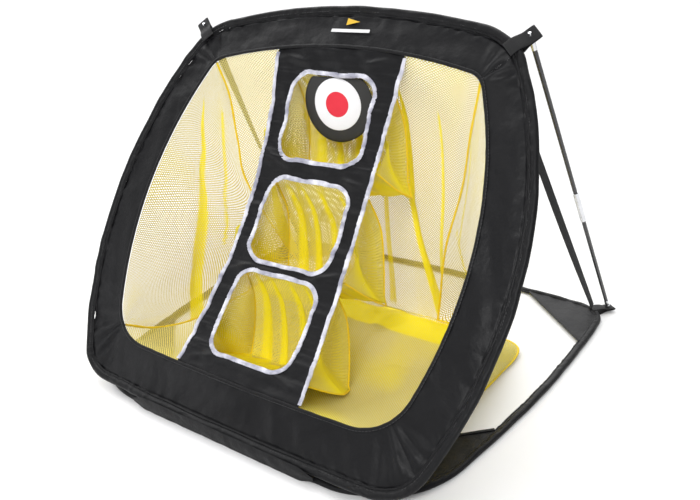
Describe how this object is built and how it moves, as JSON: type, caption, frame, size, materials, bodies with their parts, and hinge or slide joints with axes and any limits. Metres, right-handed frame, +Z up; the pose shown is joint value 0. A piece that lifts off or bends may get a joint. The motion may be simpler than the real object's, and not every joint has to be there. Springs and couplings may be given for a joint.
{
  "type": "golf chipping net",
  "caption": "Free-standing pop-up golf chipping net: leaning framed target face with window pockets and hanging target, ground hoop, net bag and folding side poles",
  "frame": {"origin": "on the ground under the middle of the seam that joins the two hoops", "axes": "+X to the player's right seen from the hitting side, +Y from the hitting side towards the back, +Z up"},
  "size_m": [0.6616, 0.6, 0.4894],
  "materials": {
    "black_nylon": "woven polyester with a slight sheen",
    "black_hem": "gathered woven polyester hem",
    "black_webbing": "woven webbing",
    "white_binding": "satin bias binding",
    "yellow_mesh": "fine knitted polyester mesh",
    "spring_steel": "oil tempered spring wire",
    "bright_steel": "plated steel",
    "pole_black": "coated fibreglass tube",
    "elastic_cord": "elastic shock cord",
    "target_black": "stiffened cloth",
    "target_white": "printed cloth",
    "target_red": "printed cloth"
  },
  "bodies": {
    "base": {"base_spring_hoop": "spring_steel", "base_hoop_sleeve": "black_hem", "base_spring_crimp": "spring_steel", "hoop_joining_tape": "black_webbing", "left_front_gusset": "black_nylon", "left_rear_gusset": "black_nylon", "left_rear_tab": "black_webbing", "left_rear_eyelet": "bright_steel", "left_brace_strap": "black_webbing", "right_front_gusset": "black_nylon", "right_rear_gusset": "black_nylon", "right_rear_tab": "black_webbing", "right_rear_eyelet": "bright_steel", "right_brace_strap": "black_webbing"},
    "front": {"ball_pocket_bottom": "yellow_mesh", "ball_pocket_middle": "yellow_mesh", "ball_pocket_top": "yellow_mesh", "border_bottom": "black_nylon", "border_left": "black_nylon", "border_right": "black_nylon", "border_top": "black_nylon", "column_panel": "black_nylon", "column_tape_left": "white_binding", "column_tape_right": "white_binding", "front_hoop_sleeve": "black_hem", "front_spring_crimp": "spring_steel", "front_spring_hoop": "spring_steel", "left_front_eyelet": "bright_steel", "left_front_tab": "black_webbing", "left_net_side": "yellow_mesh", "net_back": "yellow_mesh", "net_floor": "yellow_mesh", "opening_binding": "black_nylon", "right_front_eyelet": "bright_steel", "right_front_tab": "black_webbing", "right_net_side": "yellow_mesh", "target_hanging_tape": "black_webbing", "window_binding_bottom": "white_binding", "window_binding_middle": "white_binding", "window_binding_top": "white_binding"},
    "target": {"target_board": "target_black", "target_white_ring": "target_white", "target_red_centre": "target_red"},
    "left_pole": {"left_pole_foot_cap": "bright_steel", "left_pole_lower_section": "pole_black", "left_pole_lower_cord": "elastic_cord", "left_pole_ferrule": "bright_steel"},
    "left_pole_top": {"left_pole_upper_section": "pole_black", "left_pole_upper_cord": "elastic_cord", "left_pole_tip_cap": "bright_steel"},
    "right_pole": {"right_pole_foot_cap": "bright_steel", "right_pole_lower_section": "pole_black", "right_pole_lower_cord": "elastic_cord", "right_pole_ferrule": "bright_steel"},
    "right_pole_top": {"right_pole_upper_section": "pole_black", "right_pole_upper_cord": "elastic_cord", "right_pole_tip_cap": "bright_steel"}
  },
  "joints": [
    {"name": "front_fold", "type": "hinge", "parent": "base", "child": "front", "pos_m": [0, 0, 0.015], "axis": [-1, 0, 0], "range_deg": [0, 55], "deforming": ["ball_pocket_bottom", "ball_pocket_middle", "ball_pocket_top", "left_net_side", "net_back", "net_floor", "right_net_side", "left_brace_strap", "right_brace_strap", "left_front_tab", "left_front_eyelet", "right_front_tab", "right_front_eyelet"]},
    {"name": "left_pole_swing", "type": "hinge", "parent": "base", "child": "left_pole", "pos_m": [-0.316, 0.578, 0.011], "axis": [0, -1, 0], "range_deg": [0, 98.5], "deforming": ["left_front_tab", "left_front_eyelet", "left_brace_strap"]},
    {"name": "right_pole_swing", "type": "hinge", "parent": "base", "child": "right_pole", "pos_m": [0.316, 0.578, 0.011], "axis": [0, 1, 0], "range_deg": [0, 98.5], "deforming": ["right_front_tab", "right_front_eyelet", "right_brace_strap"]},
    {"name": "left_pole_break", "type": "hinge", "parent": "left_pole", "child": "left_pole_top", "pos_m": [-0.28489, 0.44316, 0.23979], "axis": [-0.9909, 0, 0.1347], "range_deg": [0, 170], "deforming": ["left_front_tab", "left_front_eyelet", "left_brace_strap"]},
    {"name": "right_pole_break", "type": "hinge", "parent": "right_pole", "child": "right_pole_top", "pos_m": [0.28489, 0.44316, 0.23979], "axis": [-0.9909, 0, -0.1347], "range_deg": [0, 170], "deforming": ["right_front_tab", "right_front_eyelet", "right_brace_strap"]},
    {"name": "target_swing", "type": "hinge", "parent": "front", "child": "target", "pos_m": [0, 0.2834, 0.4022], "axis": [1, 0, 0], "range_deg": [-20, 22]}
  ],
  "couplings": [
    {"joint": "left_pole_swing", "follows": "front_fold", "ratio": 1.79},
    {"joint": "right_pole_swing", "follows": "front_fold", "ratio": 1.79}
  ]
}
